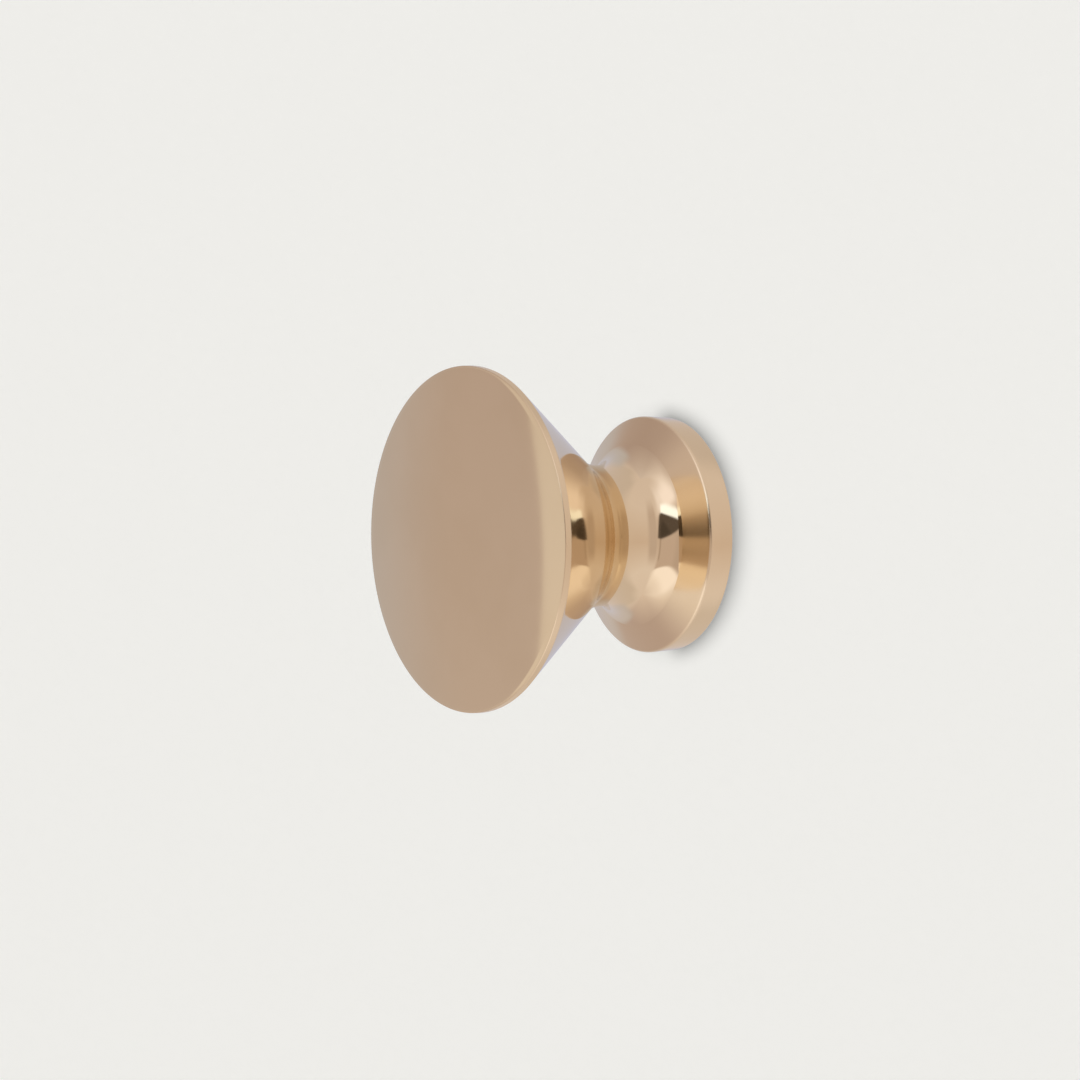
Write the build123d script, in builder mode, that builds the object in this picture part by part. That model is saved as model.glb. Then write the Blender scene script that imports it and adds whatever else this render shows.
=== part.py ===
"""Turned brass cabinet knob: one solid with a blind tapped hole in its back.

The knob's axis is Y. The back face lies on y = 0 and the domed face looks to -Y.
All sizes are in millimetres and degrees.
"""

import os
from math import acos, asin, atan2, degrees, hypot, radians, tan

from build123d import *

# Head
head_diameter = 38.0  # widest circle, round the rim
projection = 27.5  # from the back face to the middle of the domed face
dome_rise = 1.1  # middle of the face above its edge
rim_width = 0.75  # narrow straight side of the head
rim_rounding = 0.12  # both edges of that side

# Waist
neck_diameter = 15.45  # narrowest circle
neck_height = 9.05  # its distance from the back face
head_hollow = 7.4  # radius of the hollow in section, from the neck to the head
base_hollow = 5.25  # radius of the hollow in section, from the neck to the base

# Base
crease_diameter = 19.9  # where the hollow meets the sloping top of the base
base_diameter = 25.9  # at the shoulder
foot_diameter = 25.5  # at the back face
base_side = 3.0  # height of the shoulder
shoulder_rounding = 0.4  # edge between the sloping top and the side
foot_rounding = 0.2  # edge between the side and the back face

# Tapped hole
drill_diameter = 3.3  # tapping size of an M4 thread
drill_depth = 12.0  # from the back face to the end of the straight wall
drill_point = 118.0  # angle of the pointed end
mouth_diameter = 4.6  # wide end of the countersink
mouth_angle = 90.0

# Heights are counted from the back face towards the domed face.
head_x = head_diameter / 2
rim_front = projection - dome_rise
rim_back = rim_front - rim_width
dome_radius = (head_x**2 + dome_rise**2) / (2 * dome_rise)
dome_half_angle = degrees(asin(head_x / dome_radius))

# Both hollows touch the neck's circle, one on either side of it.
head_hollow_x = neck_diameter / 2 + head_hollow
base_hollow_x = neck_diameter / 2 + base_hollow
crease_angle = degrees(acos((base_hollow_x - crease_diameter / 2) / base_hollow))

# The underside is the straight line from the rim that touches the upper hollow.
across = head_x - head_hollow_x
along = rim_back - neck_height
cone_angle = degrees(atan2(across, along) + asin(head_hollow / hypot(across, along)))

base_x = base_diameter / 2
foot_x = foot_diameter / 2
drill_x = drill_diameter / 2
mouth_x = mouth_diameter / 2
mouth_depth = (mouth_x - drill_x) / tan(radians(mouth_angle / 2))
point_depth = drill_x / tan(radians(drill_point / 2))

# Half-section: X is the radius and Y the height above the back face.
half_section = Plane(origin=(0, 0, 0), x_dir=(1, 0, 0), z_dir=(0, 0, -1))

with BuildPart() as knob:
    with BuildSketch(half_section) as body:
        with BuildLine():
            dome = CenterArc(
                (0, projection - dome_radius), dome_radius, 90 - dome_half_angle, dome_half_angle
            )
            upper = CenterArc((head_hollow_x, neck_height), head_hollow, 180 - cone_angle, cone_angle)
            lower = CenterArc((base_hollow_x, neck_height), base_hollow, 180, crease_angle)
            Polyline(dome @ 0, (head_x, rim_back), upper @ 0)
            Polyline(lower @ 1, (base_x, base_side), (foot_x, 0), (0, 0), dome @ 1)
        make_face()
        rim = body.vertices().group_by(Axis.X)[-1]
        fillet(rim, radius=rim_rounding)
        shoulder = body.vertices().sort_by_distance((base_x, base_side))[0]
        fillet(shoulder, radius=shoulder_rounding)
        foot = body.vertices().sort_by_distance((foot_x, 0))[0]
        fillet(foot, radius=foot_rounding)
    revolve(axis=Axis.Y)

    with BuildSketch(half_section):
        with BuildLine():
            Polyline(
                (0, 0),
                (mouth_x, 0),
                (drill_x, mouth_depth),
                (drill_x, drill_depth),
                (0, drill_depth + point_depth),
                close=True,
            )
        make_face()
    revolve(axis=Axis.Y, mode=Mode.SUBTRACT)

knob.part.label = "knob"

os.makedirs("parts", exist_ok=True)
export_step(knob.part, "parts/knob.step")
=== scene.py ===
"""Looks of the cabinet knob: polished brass against a plain pale wall, in soft studio light."""

import math

import bmesh
import bpy
from mathutils import Matrix, Vector


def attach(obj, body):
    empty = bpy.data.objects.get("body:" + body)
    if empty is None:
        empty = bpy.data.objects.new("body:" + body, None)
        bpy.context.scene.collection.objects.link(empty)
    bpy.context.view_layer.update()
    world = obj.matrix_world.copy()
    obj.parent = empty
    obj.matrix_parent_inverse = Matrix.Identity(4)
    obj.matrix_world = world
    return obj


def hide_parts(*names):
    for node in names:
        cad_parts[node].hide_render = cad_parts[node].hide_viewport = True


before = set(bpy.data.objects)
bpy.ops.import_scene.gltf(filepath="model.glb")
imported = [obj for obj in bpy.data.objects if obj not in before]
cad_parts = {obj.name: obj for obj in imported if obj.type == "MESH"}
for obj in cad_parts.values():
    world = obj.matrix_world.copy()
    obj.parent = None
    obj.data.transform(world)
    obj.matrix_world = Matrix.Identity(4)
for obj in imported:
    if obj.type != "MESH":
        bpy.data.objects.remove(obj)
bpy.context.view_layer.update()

scene = bpy.context.scene
scene.view_settings.view_transform = "Standard"
MM = 0.001

# The knob's sizes, in millimetres and degrees, as in its source.
HEAD_DIAMETER = 38.0
PROJECTION = 27.5
DOME_RISE = 1.1
RIM_WIDTH = 0.75
RIM_ROUNDING = 0.12
NECK_DIAMETER = 15.45
NECK_HEIGHT = 9.05
HEAD_HOLLOW = 7.4
BASE_HOLLOW = 5.25
CREASE_DIAMETER = 19.9
BASE_DIAMETER = 25.9
FOOT_DIAMETER = 25.5
BASE_SIDE = 3.0
SHOULDER_ROUNDING = 0.4
FOOT_ROUNDING = 0.2
DRILL_DIAMETER = 3.3
DRILL_DEPTH = 12.0
DRILL_POINT = 118.0
MOUTH_DIAMETER = 4.6

# The M4 thread in the hole, in millimetres. The last two shape its groove: the flanks' slope, and the
# land that stays between two turns.
THREAD_PITCH = 0.7
THREAD_DEPTH = 0.36
THREAD_LENGTH = 10.2
THREAD_SLOPE = 2.9
THREAD_LAND = 0.36

# How finely the mesh is divided: round the axis, along one turn of the thread, and along each stretch
# of the half-section.
SEGMENTS = 216
THREAD_STEPS = 10
BACK_STEPS = 10
FOOT_STEPS = 8
SIDE_STEPS = 4
SHOULDER_STEPS = 12
RING_STEPS = 12
HOLLOW_STEPS = 36
CONE_STEPS = 24
BACK_EDGE_STEPS = 6
RIM_STEPS = 3
FRONT_EDGE_STEPS = 8
DOME_STEPS = 30


def arc(cx, cy, radius, start, end, count):
    """Points of an arc in the half-section, from one angle to another, in degrees."""
    angles = [math.radians(start + (end - start) * i / count) for i in range(count + 1)]
    return [(cx + radius * math.cos(a), cy + radius * math.sin(a)) for a in angles]


def line(start, end, count):
    """Points between two others, with both ends."""
    return [
        (start[0] + (end[0] - start[0]) * i / count, start[1] + (end[1] - start[1]) * i / count)
        for i in range(count + 1)
    ]


def rounded(before, corner, after, radius, count):
    """Arc that rounds a corner of the half-section."""
    a = Vector(before) - Vector(corner)
    b = Vector(after) - Vector(corner)
    a.normalize()
    b.normalize()
    half = a.angle(b) / 2
    centre = Vector(corner) + (a + b).normalized() * (radius / math.sin(half))
    first = Vector(corner) + a * (radius / math.tan(half)) - centre
    last = Vector(corner) + b * (radius / math.tan(half)) - centre
    start = math.degrees(math.atan2(first.y, first.x))
    turn = math.degrees(math.atan2(last.y, last.x)) - start
    turn = (turn + 180) % 360 - 180
    return arc(centre.x, centre.y, radius, start, start + turn, count)


def outer_section():
    """Outer half-section from the hole's mouth over the back, base, waist, cone and rim to the apex.

    Its two stretches, base and body, meet in the sharp crease.
    """
    head_x, base_x = HEAD_DIAMETER / 2, BASE_DIAMETER / 2
    rim_front = (head_x, PROJECTION - DOME_RISE)
    rim_back = (head_x, PROJECTION - DOME_RISE - RIM_WIDTH)
    dome_radius = (head_x**2 + DOME_RISE**2) / (2 * DOME_RISE)
    head_hollow_x = NECK_DIAMETER / 2 + HEAD_HOLLOW
    base_hollow_x = NECK_DIAMETER / 2 + BASE_HOLLOW
    crease_angle = math.degrees(math.acos((base_hollow_x - CREASE_DIAMETER / 2) / BASE_HOLLOW))
    across, along = head_x - head_hollow_x, rim_back[1] - NECK_HEIGHT
    cone = math.degrees(
        math.atan2(across, along) + math.asin(HEAD_HOLLOW / math.hypot(across, along))
    )
    mouth, foot = (MOUTH_DIAMETER / 2, 0.0), (FOOT_DIAMETER / 2, 0.0)
    shoulder = (base_x, BASE_SIDE)
    lower = arc(base_hollow_x, NECK_HEIGHT, BASE_HOLLOW, 180 + crease_angle, 180, HOLLOW_STEPS)
    upper = arc(head_hollow_x, NECK_HEIGHT, HEAD_HOLLOW, 180, 180 - cone, HOLLOW_STEPS)
    foot_edge = rounded(mouth, foot, shoulder, FOOT_ROUNDING, FOOT_STEPS)
    shoulder_edge = rounded(foot, shoulder, lower[0], SHOULDER_ROUNDING, SHOULDER_STEPS)
    back_edge = rounded(upper[-1], rim_back, rim_front, RIM_ROUNDING, BACK_EDGE_STEPS)

    # The rounding between the rim and the dome touches both of them.
    inner_x = head_x - RIM_ROUNDING
    inner_y = PROJECTION - dome_radius + math.sqrt((dome_radius - RIM_ROUNDING) ** 2 - inner_x**2)
    dome_half = math.degrees(math.asin(inner_x / (dome_radius - RIM_ROUNDING)))
    front_edge = arc(inner_x, inner_y, RIM_ROUNDING, 0, 90 - dome_half, FRONT_EDGE_STEPS)
    dome = arc(0, PROJECTION - dome_radius, dome_radius, 90 - dome_half, 90, DOME_STEPS)

    base = (
        line(mouth, foot_edge[0], BACK_STEPS)
        + foot_edge[1:]
        + line(foot_edge[-1], shoulder_edge[0], SIDE_STEPS)[1:]
        + shoulder_edge[1:]
        + line(shoulder_edge[-1], lower[0], RING_STEPS)[1:]
    )
    body = (
        lower
        + upper[1:]
        + line(upper[-1], back_edge[0], CONE_STEPS)[1:]
        + back_edge[1:]
        + line(back_edge[-1], front_edge[0], RIM_STEPS)[1:]
        + front_edge[1:]
        + dome[1:]
    )
    return [base, body]


def thread_radius(turn, depth):
    """Radius of the hole's wall at a depth: 90 degree countersink, then thread, then plain wall."""
    wave = (depth / THREAD_PITCH - turn) % 1.0
    groove = min(1.0, max(0.0, (0.5 - abs(wave - 0.5)) * THREAD_SLOPE - THREAD_LAND))
    groove *= min(1.0, max(0.0, (THREAD_LENGTH - depth) / THREAD_PITCH))
    threaded = DRILL_DIAMETER / 2 + THREAD_DEPTH * groove
    return max(threaded, MOUTH_DIAMETER / 2 - depth)


def turned_knob():
    """Fine mesh of the whole knob, with its thread."""
    bm = bmesh.new()
    turns = [i / SEGMENTS for i in range(SEGMENTS)]

    def ring(radius_at, height):
        return [
            bm.verts.new((
                radius_at(t) * math.cos(math.tau * t) * MM,
                -height * MM,
                radius_at(t) * math.sin(math.tau * t) * MM,
            ))
            for t in turns
        ]

    def skin(a, b):
        for i in range(SEGMENTS):
            j = (i + 1) % SEGMENTS
            bm.faces.new((a[i], a[j], b[j], b[i]))

    def cap(edge, tip):
        for i in range(SEGMENTS):
            bm.faces.new((edge[i], edge[(i + 1) % SEGMENTS], tip))

    base, body = outer_section()
    outer = [ring(lambda t, r=r: r, h) for r, h in base + body[1:-1]]
    for a, b in zip(outer, outer[1:]):
        skin(a, b)
    apex = bm.verts.new((0, -PROJECTION * MM, 0))
    cap(outer[-1], apex)

    steps = round(DRILL_DEPTH / THREAD_PITCH * THREAD_STEPS)
    depths = [DRILL_DEPTH * i / steps for i in range(1, steps + 1)]
    bore = [outer[0]] + [ring(lambda t, d=d: thread_radius(t, d), d) for d in depths]
    for a, b in zip(bore, bore[1:]):
        skin(a, b)
    point = DRILL_DIAMETER / 2 / math.tan(math.radians(DRILL_POINT / 2))
    cap(bore[-1], bm.verts.new((0, -(DRILL_DEPTH + point) * MM, 0)))

    # Everything is shaded smooth, apart from the hole's mouth, the crease and the hole's end.
    bmesh.ops.recalc_face_normals(bm, faces=bm.faces)
    for face in bm.faces:
        face.smooth = True
    for sharp in (outer[0], outer[len(base) - 1], bore[-1]):
        corners = set(sharp)
        for vert in sharp:
            for edge in vert.link_edges:
                if edge.other_vert(vert) in corners:
                    edge.smooth = False
    mesh = bpy.data.meshes.new("knob_turned")
    bm.to_mesh(mesh)
    bm.free()
    piece = bpy.data.objects.new("knob_turned", mesh)
    scene.collection.objects.link(piece)
    return piece


class Nodes:
    """Short way to add and link shader nodes."""

    def __init__(self, owner):
        owner.use_nodes = True
        self.tree = owner.node_tree
        self.tree.nodes.clear()

    def add(self, kind, inputs=None, **settings):
        """New node. An input is a constant, or the output of another node."""
        node = self.tree.nodes.new(kind)
        for name, value in settings.items():
            setattr(node, name, value)
        for name, value in (inputs or {}).items():
            self.feed(node.inputs[name], value)
        return node

    def feed(self, socket, value):
        """Link another node's output to the socket, or set its constant."""
        if isinstance(value, bpy.types.NodeSocket):
            self.tree.links.new(value, socket)
        else:
            socket.default_value = value

    def parts(self, vector):
        """X, Y and Z of a vector."""
        node = self.add("ShaderNodeSeparateXYZ", {"Vector": vector})
        return [node.outputs[i] for i in range(3)]

    def math(self, operation, a, b=0.0, c=0.0):
        return self.add("ShaderNodeMath", {0: a, 1: b, 2: c}, operation=operation).outputs[0]

    def length(self, a, b):
        """Length of the line whose two parts at right angles are given."""
        return self.math("SQRT", self.math("MULTIPLY_ADD", a, a, self.math("MULTIPLY", b, b)))

    def smooth(self, value, start, end):
        """0 up to start, 1 from end on, and smooth between them. Start may also lie above end."""
        inputs = {"Value": value, "From Min": start, "From Max": end}
        node = self.add("ShaderNodeMapRange", inputs, interpolation_type="SMOOTHSTEP")
        return node.outputs["Result"]

    def noise(self, vector, scale, detail, roughness):
        inputs = {"Vector": vector, "Scale": scale, "Detail": detail, "Roughness": roughness}
        return self.add("ShaderNodeTexNoise", inputs).outputs["Fac"]

    def ramp(self, value, stops):
        """Colour that runs evenly from stop to stop."""
        node = self.add("ShaderNodeValToRGB", {"Fac": value})
        while len(node.color_ramp.elements) < len(stops):
            node.color_ramp.elements.new(0.5)
        for element, (place, tone) in zip(node.color_ramp.elements, stops):
            element.position = place
            element.color = (*tone, 1)
        return node.outputs["Color"]

    def mix(self, factor, a, b):
        """Colour a where the factor is 0, and b where it is 1."""
        node = self.add("ShaderNodeMix", data_type="RGBA")
        for name, value in (("Factor", factor), ("A", a), ("B", b)):
            kind = "VALUE" if name == "Factor" else "RGBA"
            self.feed(next(s for s in node.inputs if s.name == name and s.type == kind), value)
        return next(s for s in node.outputs if s.type == "RGBA")


# Brass: the two tones that it wavers between, and the noise values between which it does.
BRASS_DEEP = (0.79, 0.645, 0.435, 1)
BRASS_PALE = (0.81, 0.665, 0.455, 1)
TONE_BAND = (0.35, 0.65)

# Its noises: cells in a metre, detail and roughness.
TONE_NOISE = (90.0, 3.0, 0.55)
HAZE_NOISE = (420.0, 4.0, 0.6)
MARK_NOISE = (9000.0, 2.0, 0.6)

# Its roughness, and what polishing haze, turning marks and the satin places add to it.
POLISH = 0.03
HAZE_ROUGHNESS = 0.03
MARK_ROUGHNESS = 0.02
BASE_SATIN = 0.08
SHOULDER_SATIN = 0.1
RIM_SATIN = 0.2

# Where the satin starts and where it is full, in millimetres: the height on the base, the distance from
# a circle on the shoulder's edge, and the distance in from the head's edge.
BASE_BAND = (4.9, 4.5)
SHOULDER_BAND = (0.42, 0.2)
SHOULDER_CIRCLE_RADIUS = 12.82
SHOULDER_CIRCLE_HEIGHT = 2.8
RIM_BAND = (0.3, 0.1)

# Its fine relief: the shares of haze and marks, how much of it shows, and its depth in millimetres.
HAZE_RELIEF = 0.25
MARK_RELIEF = 0.12
RELIEF_STRENGTH = 0.02
RELIEF_DEPTH = 0.05


def brass():
    """Polished brass, slightly uneven, with haze and turning marks, more satin on the base and edges."""
    material = bpy.data.materials.new("polished_brass")
    n = Nodes(material)
    place = n.add("ShaderNodeTexCoord").outputs["Object"]
    x, y, z = n.parts(place)
    radius = n.length(x, z)

    tone = n.smooth(n.noise(place, *TONE_NOISE), *TONE_BAND)
    colour = n.mix(tone, BRASS_DEEP, BRASS_PALE)

    # The turning marks run round the axis, so they change only with the radius and along the axis.
    along = n.add("ShaderNodeCombineXYZ", {"X": radius, "Y": y, "Z": 0.0}).outputs[0]
    marks = n.noise(along, *MARK_NOISE)
    haze = n.noise(place, *HAZE_NOISE)
    rough = n.math("MULTIPLY_ADD", marks, MARK_ROUGHNESS, POLISH)
    rough = n.math("MULTIPLY_ADD", haze, HAZE_ROUGHNESS, rough)

    base = n.smooth(y, *(-height * MM for height in BASE_BAND))
    out = n.math("SUBTRACT", radius, SHOULDER_CIRCLE_RADIUS * MM)
    up = n.math("ADD", y, SHOULDER_CIRCLE_HEIGHT * MM)
    shoulder = n.smooth(n.length(out, up), *(distance * MM for distance in SHOULDER_BAND))
    rim = n.smooth(radius, *((HEAD_DIAMETER / 2 - inset) * MM for inset in RIM_BAND))
    for where, satin in ((base, BASE_SATIN), (shoulder, SHOULDER_SATIN), (rim, RIM_SATIN)):
        rough = n.math("MULTIPLY_ADD", where, satin, rough)

    height = n.math("MULTIPLY_ADD", haze, HAZE_RELIEF, n.math("MULTIPLY", marks, MARK_RELIEF))
    relief = {"Height": height, "Strength": RELIEF_STRENGTH, "Distance": RELIEF_DEPTH * MM}
    bump = n.add("ShaderNodeBump", relief)
    shader = n.add(
        "ShaderNodeBsdfPrincipled",
        {
            "Base Color": colour,
            "Metallic": 1.0,
            "Roughness": rough,
            "Normal": bump.outputs[0],
        },
    )
    n.add("ShaderNodeOutputMaterial", {"Surface": shader.outputs[0]})
    return material


# Paints of the wall and the floor: the two tones of a very faint mottle, and its noise, with cells in a
# metre, detail and roughness.
WALL_LOW = (0.995, 0.995, 0.995, 1)
WALL_HIGH = (1.0, 1.0, 1.0, 1)
WALL_NOISE = (40.0, 3.0, 0.5)
FLOOR_LOW = (0.86, 0.855, 0.83, 1)
FLOOR_HIGH = (0.88, 0.875, 0.85, 1)
FLOOR_NOISE = (6.0, 3.0, 0.5)

# Shade on the wall round the foot: how far it reaches above and below the knob, and how much farther at
# the sides, in millimetres.
SHADE_REACH = 2.35
SHADE_SIDE_REACH = 2.8

# The shade's depth on the left, and what the right adds across a strip, in millimetres, that leans a
# little.
SHADE_LEFT = 0.14
SHADE_RIGHT_MORE = 0.38
SHADE_STRIP = (-2.5, 2.5)
SHADE_LEAN = 0.1
SHADE_COLOUR = (0.0, 0.0, 0.0, 1)

# Wall and floor, in metres. The wall's tuck, in millimetres, is how far its opening lies inside the
# foot's rounding.
WALL_RADII = (0.05, 0.3, 3.0)
WALL_SEGMENTS = 96
WALL_TUCK = 0.1
FLOOR_LEVEL = -0.45
FLOOR_REACH = 3.0


def wall_paint():
    """Pale paint with a narrow soft shade round the knob's foot, wider to the sides. Clear from behind."""
    material = bpy.data.materials.new("wall_paint")
    n = Nodes(material)
    place = n.add("ShaderNodeTexCoord").outputs["Object"]
    x, _, z = n.parts(place)
    radius = n.length(x, z)
    aside = n.math("POWER", n.math("DIVIDE", n.math("ABSOLUTE", x), radius), 2.0)
    reach = n.math("MULTIPLY_ADD", aside, SHADE_SIDE_REACH * MM, SHADE_REACH * MM)
    away = n.math("DIVIDE", n.math("SUBTRACT", radius, FOOT_DIAMETER / 2 * MM), reach)
    near = n.math("SUBTRACT", 1.0, n.math("MINIMUM", n.math("MAXIMUM", away, 0.0), 1.0))
    leaning = n.math("MULTIPLY_ADD", z, SHADE_LEAN, x)
    toward = n.smooth(leaning, *(side * MM for side in SHADE_STRIP))
    deep = n.math("MULTIPLY_ADD", toward, SHADE_RIGHT_MORE, SHADE_LEFT)
    shade = n.math("MULTIPLY", n.math("POWER", near, 2.0), deep)
    paint = n.mix(n.noise(place, *WALL_NOISE), WALL_LOW, WALL_HIGH)
    colour = n.mix(shade, paint, SHADE_COLOUR)
    shader = n.add("ShaderNodeBsdfDiffuse", {"Color": colour}).outputs[0]
    behind = n.add("ShaderNodeNewGeometry").outputs["Backfacing"]
    clear = n.add("ShaderNodeBsdfTransparent").outputs[0]
    both = n.add("ShaderNodeMixShader", {0: behind, 1: shader, 2: clear}).outputs[0]
    n.add("ShaderNodeOutputMaterial", {"Surface": both})
    return material


def floor_paint():
    """Plain pale paint."""
    material = bpy.data.materials.new("floor_paint")
    n = Nodes(material)
    place = n.add("ShaderNodeTexCoord").outputs["Object"]
    colour = n.mix(n.noise(place, *FLOOR_NOISE), FLOOR_LOW, FLOOR_HIGH)
    shader = n.add("ShaderNodeBsdfDiffuse", {"Color": colour}).outputs[0]
    n.add("ShaderNodeOutputMaterial", {"Surface": shader})
    return material


def backdrop(name, verts, faces, material):
    """Piece of the surroundings that the brass doesn't mirror."""
    mesh = bpy.data.meshes.new(name)
    mesh.from_pydata(verts, [], faces)
    mesh.materials.append(material)
    piece = bpy.data.objects.new(name, mesh)
    piece.visible_glossy = False
    scene.collection.objects.link(piece)
    return piece


def wall():
    """Upright backdrop on the plane of the knob's back, open behind the base."""
    opening = (FOOT_DIAMETER / 2 - FOOT_ROUNDING - WALL_TUCK) * MM
    verts, faces = [], []
    for radius in (opening, *WALL_RADII):
        for i in range(WALL_SEGMENTS):
            a = math.tau * i / WALL_SEGMENTS
            verts.append((radius * math.cos(a), 0.0, radius * math.sin(a)))
    for k in range(len(WALL_RADII)):
        a, b = k * WALL_SEGMENTS, (k + 1) * WALL_SEGMENTS
        for i in range(WALL_SEGMENTS):
            j = (i + 1) % WALL_SEGMENTS
            faces.append((a + i, b + i, b + j, a + j))
    return backdrop("wall", verts, faces, wall_paint())


def floor():
    """Pale floor below the wall."""
    side, z = FLOOR_REACH, FLOOR_LEVEL
    verts = [(-side, -side, z), (side, -side, z), (side, 0, z), (-side, 0, z)]
    return backdrop("floor", verts, [(0, 1, 2, 3)], floor_paint())


# Plain light in which everything matt stands.
PLAIN_LIGHT = (0.872, 0.866, 0.843, 1)
PLAIN_STRENGTH = 1.05

# Studio surroundings by direction: plan angle from -Y towards +X, and elevation, both in degrees.
# Cool daylight falls on warm surfaces, whose tone changes with the elevation in three sectors.
DAYLIGHT = (0.97, 1.0, 1.08)
LEFT_TONES = [
    (-90, (0.88, 0.76, 0.70)),
    (-38, (0.58, 0.47, 0.44)),
    (-12, (0.62, 0.525, 0.49)),
    (32, (0.51, 0.405, 0.375)),
    (90, (0.76, 0.67, 0.64)),
]
MIDDLE_TONES = [
    (-90, (0.88, 0.78, 0.74)),
    (-50, (1.00, 0.88, 0.80)),
    (0, (0.80, 0.71, 0.64)),
    (30, (0.69, 0.57, 0.51)),
    (50, (0.90, 0.80, 0.77)),
    (90, (0.77, 0.67, 0.64)),
]
RIGHT_TONES = [
    (-90, (0.87, 0.76, 0.71)),
    (-50, (0.90, 0.80, 0.75)),
    (-8, (0.745, 0.605, 0.515)),
    (40, (0.82, 0.71, 0.65)),
    (90, (0.80, 0.69, 0.64)),
]

# Border between the left and the middle sector. Near the horizon it is a sharp line, bowed to the left
# on either side of one level, up to a limit. In the steep range it moves to the right and grows broad.
BORDER_PLAN = -45.27
BORDER_SOFTNESS = 0.3
BOW_LEVEL = -2.6
BOW_CURVE = 0.055
BOW_LIMIT = 9.0
STEEP_RANGE = (10.0, 44.0)
STEEP_SHIFT = 33.0
STEEP_SOFTNESS = 28.0

# Plan angles over which the right sector's tones set in: from the middle, and again towards the wall.
RIGHT_RANGE = (-6.0, 22.0)
WALL_RANGE = (-92.0, -124.0)

# Panels in front of the sectors, each with its light. Its corners run against the clock: plan,
# elevation, and how soft the edge is that starts there.
PANELS = [
    # Towards the wall, above and below, at both ends of the plan.
    ([(-230, 16, 9), (-112, 16, 9), (-112, 76, 12), (-230, 76, 9)], (0.69, 0.60, 0.55)),
    ([(-230, -76, 12), (-112, -76, 9), (-112, -16, 9), (-230, -16, 9)], (0.74, 0.645, 0.585)),
    ([(164, 16, 9), (230, 16, 9), (230, 76, 12), (164, 76, 16)], (0.69, 0.60, 0.55)),
    ([(164, -76, 12), (230, -76, 9), (230, -16, 9), (164, -16, 16)], (0.74, 0.645, 0.585)),
    # Grey on the left: along the horizon, and upright with a paler lower part.
    ([(-156, -16, 9), (-65, -15, 9), (-65, 16, 9), (-156, 18, 14)], (0.585, 0.565, 0.605)),
    ([(-120, -46, 10), (-91, -46, 7), (-91, 46, 10), (-120, 46, 10)], (0.60, 0.575, 0.595)),
    ([(-120, -46, 10), (-91, -46, 7), (-91, -12, 9), (-120, -12, 10)], (0.67, 0.625, 0.63)),
    # Brown on the right: upright beside the wall, and a broad field with a deeper patch.
    ([(76, -34, 14), (97, -34, 6), (97, 44, 16), (76, 44, 4)], (0.64, 0.525, 0.46)),
    ([(12, -44, 6), (73, -50, 5), (73, 24, 5), (12, 12, 6)], (0.66, 0.53, 0.46)),
    ([(4, -30, 6), (30, -30, 8), (30, 4, 6), (4, 4, 6)], (0.60, 0.48, 0.41)),
    # Light from above, with a brighter middle.
    ([(0, 31, 6), (67, 31, 8), (58, 61, 15), (0, 61, 12)], (1.06, 0.97, 0.96)),
    ([(8, 26, 6), (47, 32, 8), (43, 52, 9), (12, 52, 8)], (1.18, 1.09, 1.10)),
    # Light from below, with a brighter middle.
    (
        [(-3, -76, 14), (80, -76, 9), (80, -40, 4), (38, -33, 3), (-3, -15, 12)],
        (1.06, 0.96, 0.91),
    ),
    (
        [(4, -58, 9), (72, -58, 8), (72, -37, 3), (38, -33, 2), (4, -19, 8)],
        (1.22, 1.13, 1.10),
    ),
    # The brightest light, slanting.
    (
        [(16, 10, 1.4), (62, 28, 2.5), (55, 39, 4), (45, 38, 4), (18, 21, 2.5)],
        (1.40, 1.50, 1.60),
    ),
    # A narrow upright, and a dark slanting wedge with a darker middle.
    ([(66.5, -33, 4), (70.5, -33, 1.2), (70.5, 0, 2), (66.5, 0, 1.2)], (0.53, 0.42, 0.35)),
    (
        [
            (10, 7, 2),
            (45, 0, 2.2),
            (69, -4, 2),
            (75, -3, 3),
            (73, 13, 3),
            (66, 28, 2.5),
            (60, 30, 1.8),
        ],
        (0.12, 0.092, 0.073),
    ),
    ([(44, 3, 4), (68, -3, 4), (68, 12, 4), (60, 20, 4)], (0.085, 0.065, 0.05)),
]


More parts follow.
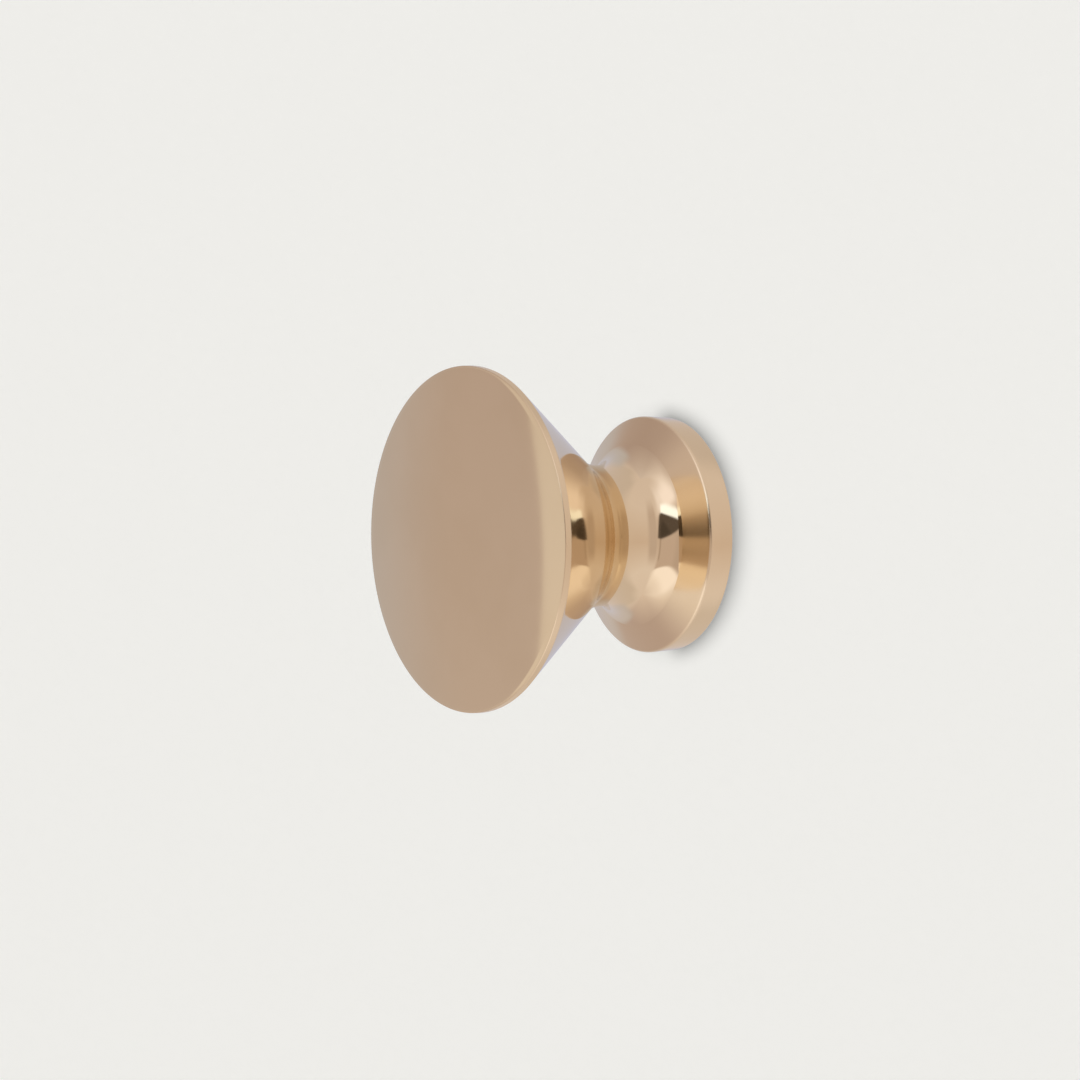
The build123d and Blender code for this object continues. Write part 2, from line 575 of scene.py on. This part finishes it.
def studio():
    """World of soft panels round the knob. The camera itself sees a plain pale ground."""
    world = bpy.data.worlds.new("studio")
    scene.world = world
    n = Nodes(world)
    x, y, z = n.parts(n.add("ShaderNodeTexCoord").outputs["Generated"])
    plan = n.math("DEGREES", n.math("ARCTAN2", x, n.math("MULTIPLY", y, -1.0)))
    lift = n.math("DEGREES", n.math("ARCSINE", z))

    share = n.math("MULTIPLY_ADD", lift, 1 / 180, 0.5)
    left, middle, right = (
        n.ramp(share, [((angle + 90) / 180, tone) for angle, tone in tones])
        for tones in (LEFT_TONES, MIDDLE_TONES, RIGHT_TONES)
    )
    bow = n.math("POWER", n.math("ABSOLUTE", n.math("SUBTRACT", lift, BOW_LEVEL)), 2.0)
    bow = n.math("MINIMUM", n.math("MULTIPLY", bow, BOW_CURVE), BOW_LIMIT)
    steep = n.smooth(n.math("ABSOLUTE", lift), *STEEP_RANGE)
    centre = n.math("MULTIPLY_ADD", steep, STEEP_SHIFT, BORDER_PLAN)
    spread = n.math("MULTIPLY_ADD", steep, STEEP_SOFTNESS, BORDER_SOFTNESS)
    start, end = n.math("SUBTRACT", centre, spread), n.math("ADD", centre, spread)
    light = n.mix(n.smooth(n.math("ADD", plan, bow), start, end), left, middle)
    light = n.mix(n.smooth(plan, *RIGHT_RANGE), light, right)
    light = n.mix(n.smooth(plan, *WALL_RANGE), light, right)
    for corners, tone in PANELS:
        inside = 1.0
        for (p0, e0, soft), (p1, e1, _) in zip(corners, corners[1:] + corners[:1]):
            run = math.hypot(p1 - p0, e1 - e0)
            across, up = (e0 - e1) / run, (p1 - p0) / run
            depth = n.math("MULTIPLY_ADD", plan, across, -across * p0 - up * e0)
            depth = n.math("MULTIPLY_ADD", lift, up, depth)
            inside = n.math("MULTIPLY", n.smooth(depth, -soft, soft), inside)
        light = n.mix(inside, light, (*tone, 1))

    # The brass mirrors the panels; everything matt stands in plain soft light.
    mirrored = n.add("ShaderNodeLightPath").outputs["Is Glossy Ray"]
    lit = n.add("ShaderNodeVectorMath", {0: light, 1: DAYLIGHT}, operation="MULTIPLY").outputs[0]
    around = n.add("ShaderNodeBackground", {"Color": lit, "Strength": 1.0})
    plain = n.add("ShaderNodeBackground", {"Color": PLAIN_LIGHT, "Strength": PLAIN_STRENGTH})
    both = n.add("ShaderNodeMixShader", {0: mirrored, 1: plain.outputs[0], 2: around.outputs[0]})
    n.add("ShaderNodeOutputWorld", {"Surface": both.outputs[0]})
    world.cycles.sampling_method = "NONE"


# The photograph's view: its direction in degrees, the picture's side in pixels, one pixel's size on the
# knob in millimetres, and the pixel where the middle of the rim's front circle lies.
VIEW_AZIMUTH = 55.83
VIEW_ELEVATION = 2.4
PICTURE_SIDE = 1080
PIXEL_SIZE = 0.1093
RIM_PIXEL_X = 467.88
RIM_PIXEL_Y = 539.42

# The camera's lens and sensor, in millimetres, and how far it sees, in metres.
LENS = 1500.0
SENSOR = 36.0
SIGHT = 20.0


def camera():
    """Long lens at the photograph's angle."""
    azimuth, elevation = math.radians(VIEW_AZIMUTH), math.radians(VIEW_ELEVATION)
    sin_a, cos_a = math.sin(azimuth), math.cos(azimuth)
    sin_e, cos_e = math.sin(elevation), math.cos(elevation)
    right = Vector((cos_a, sin_a, 0))
    up = Vector((-sin_a * sin_e, cos_a * sin_e, cos_e))
    back = Vector((sin_a * cos_e, -cos_a * cos_e, sin_e))
    pixel = PIXEL_SIZE * MM
    aside = (PICTURE_SIDE / 2 - RIM_PIXEL_X) * pixel
    below = (PICTURE_SIDE / 2 - RIM_PIXEL_Y) * pixel
    rim_centre = Vector((0, -(PROJECTION - DOME_RISE) * MM, 0))
    middle = rim_centre + right * aside - up * below
    data = bpy.data.cameras.new("camera")
    data.lens = LENS
    data.sensor_width = SENSOR
    data.clip_end = SIGHT
    piece = bpy.data.objects.new("camera", data)
    place = middle + back * (PICTURE_SIDE * pixel * LENS / SENSOR)
    piece.matrix_world = Matrix.Translation(place) @ Matrix((right, up, back)).transposed().to_4x4()
    scene.collection.objects.link(piece)
    scene.camera = piece


camera()
studio()
knob = turned_knob()
knob.data.materials.append(brass())
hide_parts("knob")
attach(knob, "root")
knob.visible_diffuse = False
wall()
floor()
